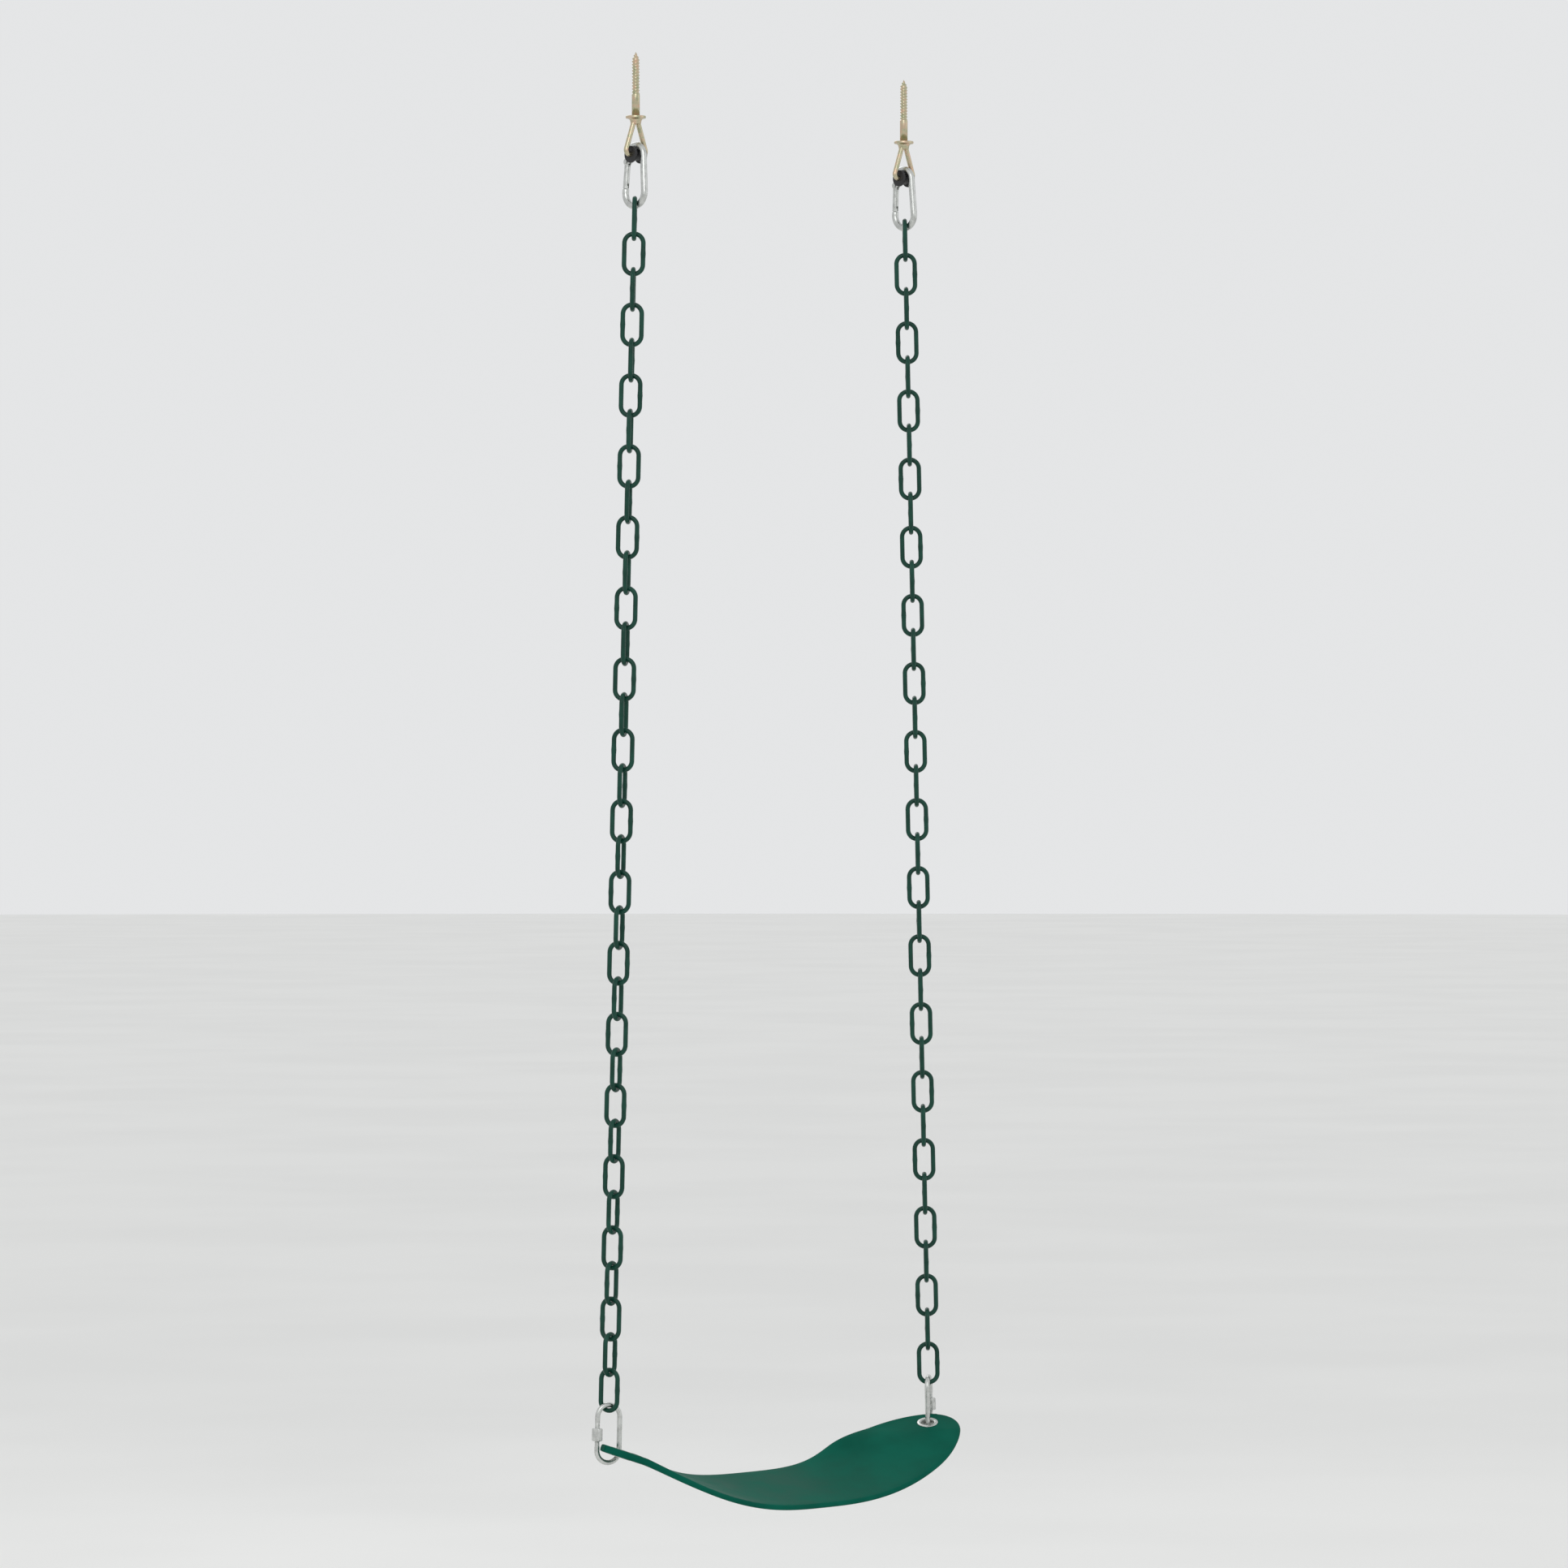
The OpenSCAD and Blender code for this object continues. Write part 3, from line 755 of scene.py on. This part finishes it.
class SWING_OT_quick_links(bpy.types.Operator):
    """Build both quick links, open on their outer legs, with their threads"""
    bl_idname = "swing.quick_links"
    bl_label = "Quick links"

    def execute(self, context):
        sizes = context.scene.swing_quick
        zinc = bright_zinc(tuple(context.scene.swing_colours.zinc))
        step, threaded, chamfer, depth = 0.25 * MM, 9 * MM, 0.8 * MM, 0.45 * MM
        wire = sizes.wire / 2
        bend = (sizes.width - sizes.wire) / 2
        half = sizes.length / 2 - bend - wire
        along = [step * i for i in range(int(threaded / step))]
        upper = [Vector((bend, 0, sizes.open_high + z)) for z in along]
        lower = [Vector((bend, 0, -sizes.open_low - z)) for z in along]
        path = upper + stretch_between(upper[-1], Vector((bend, 0, half)), 4)
        path += arc((0, half), bend, 0, math.pi, 28)
        path += stretch_between(Vector((-bend, 0, half)), Vector((-bend, 0, -half)), 12)
        path += arc((0, -half), bend, math.pi, 2 * math.pi, 28)
        path += stretch_between(Vector((bend, 0, -half)), lower[-1], 4) + lower[::-1]
        low_end, high_end = -sizes.open_low - threaded, sizes.open_high + threaded
        radii = []
        for p in path:
            on_thread = p.x > bend - 0.1 * MM and low_end < p.z < high_end
            wave = 0.5 + 0.5 * math.cos(2 * math.pi * p.z / sizes.thread_pitch)
            radii.append(wire - (depth * wave if on_thread else 0))
        radii[0] = radii[-1] = wire - chamfer
        for name, side in SIDES.items():
            part = moved(swept_wire(path, radii, 24), Matrix.Scale(side, 4, (1, 0, 0)))
            link = join_parts(f"quick_link_wire_{name}", [part], quick_place(sizes, name))
            dress(link, "quick_links", [f"quick_link_{name}"], zinc)
        return {"FINISHED"}


def sleeve_nut_part(sizes):
    """Long hexagon nut with chamfered ends and a bore, turned about Z."""
    around, chamfer, mouth = 72, 0.25 * MM, 0.5 * MM
    corner_end = 0.9 * MM               # where the chamfer has left the hexagon's corners
    flat, length = sizes.nut_flats / 2, sizes.nut_length
    corner = flat / math.cos(math.pi / 6)
    bore = sizes.wire / 2 + 0.05 * MM
    lower_end = [(0.0, flat - chamfer), (0.35 * MM, flat + chamfer), (corner_end, corner)]
    levels = lower_end + [(length - z, most) for z, most in reversed(lower_end)]
    points = []
    for height, most in levels:
        for k in range(around):
            a = 2 * math.pi * k / around
            off = (a + math.pi / 6) % (math.pi / 3) - math.pi / 6
            r = min(flat / math.cos(off), most)
            points.append((r * math.cos(a), r * math.sin(a), height))
    inside = ((length, bore + mouth), (length - mouth, bore), (mouth, bore), (0.0, bore + mouth))
    for height, r in inside:
        points += circle(r, height, around)
    return points, ring_faces(len(levels) + len(inside), around, True)


class SWING_OT_nuts(bpy.types.Operator):
    """Build the sleeve nuts that close the quick links"""
    bl_idname = "swing.nuts"
    bl_label = "Sleeve nuts"

    def execute(self, context):
        sizes = context.scene.swing_quick
        zinc = bright_zinc(tuple(context.scene.swing_colours.zinc))
        bend = (sizes.width - sizes.wire) / 2
        for name, side in SIDES.items():
            foot = Matrix.Translation((side * bend, 0, -sizes.nut_below))
            place = quick_place(sizes, name) @ foot
            nut = join_parts(f"sleeve_nut_{name}", [sleeve_nut_part(sizes)], place)
            crisp(nut, 35)
            dress(nut, f"{name}_nut", [f"link_nut_{name}"], zinc)
        return {"FINISHED"}


# ---- belt --------------------------------------------------------------------------------

class BeltShape:
    """The belt's hanging shape: a middle line with its slope, twist and roll. Its sections
    are numbered from -BELT_STEPS at the left tip to BELT_STEPS at the right one."""

    def __init__(self, sizes):
        longer = 22 * MM        # half the curve's length past half the chord's, near enough
        self.s = sizes
        drop = chain_distance(PITCH_AXIS.z) - sizes.above
        self.chord_half = drop * math.sin(LEAN) - PIVOT.x
        self.height = PIVOT.z - drop * math.cos(LEAN)
        self.half = self.chord_half + longer
        self.run = [Vector((0, 0, 0))]
        for i in range(BELT_STEPS):
            length = (self.u(i + 1) - self.u(i)) * self.half
            self.run.append(self.run[-1] + length * self.heading(i + 0.5))
        self.hang = self.run[-1] - sizes.over * self.heading(BELT_STEPS)
        self.stretch = self.chord_half / self.hang.x

    def u(self, i):
        """Share of the half length reached, with closer sections near the tips."""
        return math.sin(math.pi / 2 * abs(i) / BELT_STEPS)

    def share_out(self, i):
        """Share of the way from the middle to the flat tab."""
        return min(self.u(i) / self.s.tab_start, 1)

    def pitch(self, i):
        """Slope along the belt: its own hump before the tab, and the tab's."""
        w = self.share_out(i)
        return math.copysign(self.s.slope * math.sin(math.pi * w ** 2) + self.s.tab_slope * w ** 4,
                             i)

    def twist_share(self, i):
        """Share of the end twist reached, with an even start and finish."""
        t = self.share_out(i) ** 1.6
        return t * t * (3 - 2 * t)

    def twist(self, i):
        return (-self.s.left_turn if i < 0 else self.s.right_turn) * self.twist_share(i)

    def bow(self, i):
        """How far the middle line turns towards the rear."""
        mean = (self.s.left_turn + self.s.right_turn) / 2
        return self.s.bow * mean * self.twist_share(i)

    def heading(self, i):
        """Direction of the middle line on the right half."""
        pitch, bow = self.pitch(i), self.bow(i)
        return Vector((math.cos(pitch) * math.cos(bow), math.cos(pitch) * math.sin(bow),
                       math.sin(pitch)))

    def across(self, i):
        """Direction across the belt, towards its rear edge."""
        twist, roll = self.twist(i), self.s.tilt * (1 - self.share_out(i) ** 3)
        return Vector((-math.sin(twist) * math.cos(roll), math.cos(twist) * math.cos(roll),
                       math.sin(roll)))

    def up(self, i):
        """Direction square to the belt's upper face."""
        pitch, bow = self.pitch(i), self.bow(i)
        run = Vector((self.stretch * math.cos(pitch) * math.cos(bow),
                      math.copysign(math.cos(pitch) * math.sin(bow), i), math.sin(pitch)))
        return run.cross(self.across(i)).normalized()

    def middle(self, i):
        """A point of the belt's middle line."""
        place = self.run[abs(i)] - self.hang
        return Vector((math.copysign(self.chord_half + place.x * self.stretch, i) if i else 0,
                       place.y, self.height + place.z))

    def thickness(self, i):
        """Thickness, which grows towards the ends."""
        start, over = 0.6, 0.25         # shares of the half length
        grown = min(max(self.u(i) - start, 0) / over, 1)
        return self.s.thick + (self.s.end_thick - self.s.thick) * grown

    def half_width(self, i):
        """Half the width, which the rounded ends narrow."""
        from_tip = (1 - self.u(i)) * self.half
        if from_tip >= self.s.round:
            return self.s.width / 2
        curve = math.sqrt(1 - (1 - from_tip / self.s.round) ** 2)
        return max(self.s.tip_half, self.s.width / 2 * curve)

    def section(self, i):
        """Outline across the belt: a rounded edge, a raised rim and a flat middle."""
        columns, rim_room = 22, 12 * MM
        thick = self.thickness(i) / 2
        reach = max(self.half_width(i) - thick, 0.5 * MM)
        rim = self.s.rim * min(1, max(0, (reach - rim_room) / rim_room))
        upper = []
        for k in range(1, columns):
            c = 1 - 2 * k / columns
            gap = (1 - abs(c)) * reach
            swell = rim * math.exp(-((gap - self.s.rim_width / 2) / (self.s.rim_width / 3)) ** 2)
            upper.append((c * reach, thick + swell))
        edge = [(reach + thick * math.cos(math.radians(a)), thick * math.sin(math.radians(a)))
                for a in range(-90, 91, 15)]
        lower = [(-c, -h) for c, h in upper]
        return edge + upper + [(-c, -h) for c, h in edge] + lower

    def ring(self, i):
        """Points of one section in the frame."""
        middle, across, up = self.middle(i), self.across(i), self.up(i)
        return [middle + c * across + h * up for c, h in self.section(i)]


def hole_place(shape, quick, name):
    """Middle of a belt hole, under its quick link's inner leg, square to the tab."""
    side = SIDES[name]
    about = quick.left_turn if side < 0 else quick.right_turn
    along, up = shape.across(side * BELT_STEPS), shape.up(side * BELT_STEPS)
    inward = -side * shape.s.hole_in * Vector((math.cos(about), math.sin(about), 0))
    inward.z = -inward.dot(up) / up.z
    middle = Vector((side * shape.chord_half, 0, shape.height)) + inward
    axes = Matrix((along.cross(up), along, up)).transposed().to_4x4()
    return Matrix.Translation(middle) @ axes


def cut(thing, cutters):
    """Cuts solids out of a piece and removes them."""
    for cutter in cutters:
        modifier = thing.modifiers.new("cut", "BOOLEAN")
        modifier.object = cutter
        modifier.operation = "DIFFERENCE"
        modifier.solver = "EXACT"
    graph = bpy.context.evaluated_depsgraph_get()
    mesh = bpy.data.meshes.new_from_object(thing.evaluated_get(graph))
    thing.modifiers.clear()
    thing.data = mesh
    for cutter in cutters:
        bpy.data.objects.remove(cutter)


class SWING_OT_belt(bpy.types.Operator):
    """Build the moulded belt with its rounded edges, raised rim and end holes"""
    bl_idname = "swing.belt"
    bl_label = "Belt"

    def execute(self, context):
        sizes, quick = context.scene.swing_belt, context.scene.swing_quick
        shape = BeltShape(sizes)
        points = [p for i in range(-BELT_STEPS, BELT_STEPS + 1) for p in shape.ring(i)]
        around = len(shape.section(0))
        belt = piece("moulded_belt", points, ring_faces(2 * BELT_STEPS + 1, around, False))
        reach = 30 * MM                 # well past both faces of the belt
        rod = turned([(sizes.hole_radius, -reach), (sizes.hole_radius, reach)], 72)
        cut(belt, [join_parts("cutter", [rod], hole_place(shape, quick, name)) for name in SIDES])
        if len(belt.data.polygons) < len(points) / 2:
            raise RuntimeError("the belt's holes could not be cut")
        crisp(belt, 50)
        finish = moulded_polymer(tuple(context.scene.swing_colours.belt))
        dress(belt, "seat", ["seat_belt"], finish)
        return {"FINISHED"}


class SWING_OT_eyelets(bpy.types.Operator):
    """Build the eyelets with their rolled flanges, and the washers under the belt"""
    bl_idname = "swing.eyelets"
    bl_label = "Eyelets"

    def execute(self, context):
        sizes, quick = context.scene.swing_belt, context.scene.swing_quick
        zinc = bright_zinc(tuple(context.scene.swing_colours.zinc))
        shape = BeltShape(sizes)
        bore, outer = sizes.eyelet_radius, sizes.eyelet_flange
        top, thick = sizes.end_thick / 2 + sizes.eyelet_clear, sizes.eyelet_thick
        foot = -top - thick
        tube = sizes.hole_radius - sizes.eyelet_clear
        edge, bevel, washer_room = 0.3 * MM, 0.2 * MM, 0.05 * MM
        eyelet = [(bore, foot + edge), (bore + edge, foot), (tube - bevel, foot),
                  (tube, foot + bevel), (tube, top)]
        eyelet += [(outer - edge, top), (outer, top + edge),
                   (outer - 0.5 * MM, top + 0.9 * thick), (outer - 2 * MM, top + 1.2 * thick)]
        eyelet += [(bore + 1.6 * MM, top + 1.2 * thick), (bore + 0.6 * MM, top + 0.8 * thick),
                   (bore, top)]
        washer = rounded_box_ring(tube + washer_room, outer, foot, -top, 0.25 * MM)
        for name in SIDES:
            place = hole_place(shape, quick, name)
            for title, node, outline in (("eyelet_ring", "eyelet", eyelet),
                                         ("washer_ring", "eyelet_washer", washer)):
                ring = join_parts(f"{title}_{name}", [turned(outline, 72, True)], place)
                dress(ring, "seat", [f"{node}_{name}"], zinc)
        return {"FINISHED"}


# ---- studio ------------------------------------------------------------------------------

class SWING_OT_camera(bpy.types.Operator):
    """Place the camera level with the middle of the swing"""
    bl_idname = "swing.camera"
    bl_label = "Camera"

    def execute(self, context):
        sizes = context.scene.swing_studio
        low, high = cad_box
        margin = 1.09                   # height of the picture over the height of the swing
        away = Vector((math.sin(sizes.azimuth), -math.cos(sizes.azimuth), 0))
        data = bpy.data.cameras.new("camera")
        data.sensor_width = 36
        data.lens = data.sensor_width * sizes.distance / ((high.z - low.z) * margin)
        data.clip_end = 100
        camera = bpy.data.objects.new("camera", data)
        camera.location = SWING_MIDDLE + away * sizes.distance
        camera.rotation_euler = (-away).to_track_quat("-Z", "Y").to_euler()
        context.scene.collection.objects.link(camera)
        context.scene.camera = camera
        return {"FINISHED"}


def soft_light(name, direction, distance, width, power):
    """A square area light that looks at the middle of the swing."""
    data = bpy.data.lights.new(name, "AREA")
    data.shape = "SQUARE"
    data.size = width
    data.energy = power
    light = bpy.data.objects.new(name, data)
    light.location = SWING_MIDDLE + Vector(direction).normalized() * distance
    light.rotation_euler = (SWING_MIDDLE - light.location).to_track_quat("-Z", "Y").to_euler()
    bpy.context.scene.collection.objects.link(light)


class SWING_OT_stage(bpy.types.Operator):
    """Lay the pale floor and set the soft lights and the pale surroundings"""
    bl_idname = "swing.stage"
    bl_label = "Stage"

    def execute(self, context):
        floor_z = cad_box[0].z - context.scene.swing_studio.floor_gap
        floor_radius, around = 60.0, 96
        floor = piece("studio_floor", circle(floor_radius, floor_z, around),
                      [tuple(range(around))])
        floor.data.materials.append(matte_floor(tuple(context.scene.swing_colours.floor)))
        world = bpy.data.worlds.new("pale_room")
        world.use_nodes = True
        background = world.node_tree.nodes["Background"]
        background.inputs["Color"].default_value = (*linear("F2F3F4"), 1)
        background.inputs["Strength"].default_value = 0.88
        context.scene.world = world
        # name, direction from the swing, metres away, width in metres, watts
        soft_light("key", (-0.9, -0.75, 0.7), 4.0, 2.2, 30)
        soft_light("fill", (0.8, -1.0, 0.25), 4.5, 3.0, 10)
        soft_light("rim", (0.5, 1.0, 0.9), 4.0, 2.0, 16)
        context.scene.view_settings.view_transform = "Standard"
        return {"FINISHED"}


# ---- panel and registration --------------------------------------------------------------

OPERATORS = (SWING_OT_camera, SWING_OT_hangers, SWING_OT_bushings, SWING_OT_hooks,
             SWING_OT_chains, SWING_OT_quick_links, SWING_OT_nuts, SWING_OT_belt,
             SWING_OT_eyelets, SWING_OT_stage)

GROUPS = {
    "swing_hanger": HangerSizes,
    "swing_bushing": BushingSizes,
    "swing_hook": HookSizes,
    "swing_chain": ChainSizes,
    "swing_quick": QuickLinkSizes,
    "swing_belt": BeltSizes,
    "swing_colours": SwingColours,
    "swing_studio": StudioSizes,
}


class SWING_PT_panel(bpy.types.Panel):
    """Lists the steps that build the swing"""
    bl_idname = "SWING_PT_panel"
    bl_label = "Belt Swing Seat"
    bl_space_type = "VIEW_3D"
    bl_region_type = "UI"
    bl_category = "Swing"

    def draw(self, context):
        for operator in OPERATORS:
            self.layout.operator(operator.bl_idname)


def register():
    for kind in (*GROUPS.values(), *OPERATORS, SWING_PT_panel):
        bpy.utils.register_class(kind)
    for name, group in GROUPS.items():
        setattr(bpy.types.Scene, name, PointerProperty(type=group))


def unregister():
    for name in GROUPS:
        delattr(bpy.types.Scene, name)
    for kind in reversed((*GROUPS.values(), *OPERATORS, SWING_PT_panel)):
        bpy.utils.unregister_class(kind)


def main():
    register()
    bpy.ops.swing.camera()
    bpy.ops.swing.hangers()
    bpy.ops.swing.bushings()
    bpy.ops.swing.hooks()
    bpy.ops.swing.chains()
    bpy.ops.swing.quick_links()
    bpy.ops.swing.nuts()
    bpy.ops.swing.belt()
    bpy.ops.swing.eyelets()
    bpy.ops.swing.stage()


if __name__ == "__main__":
    main()
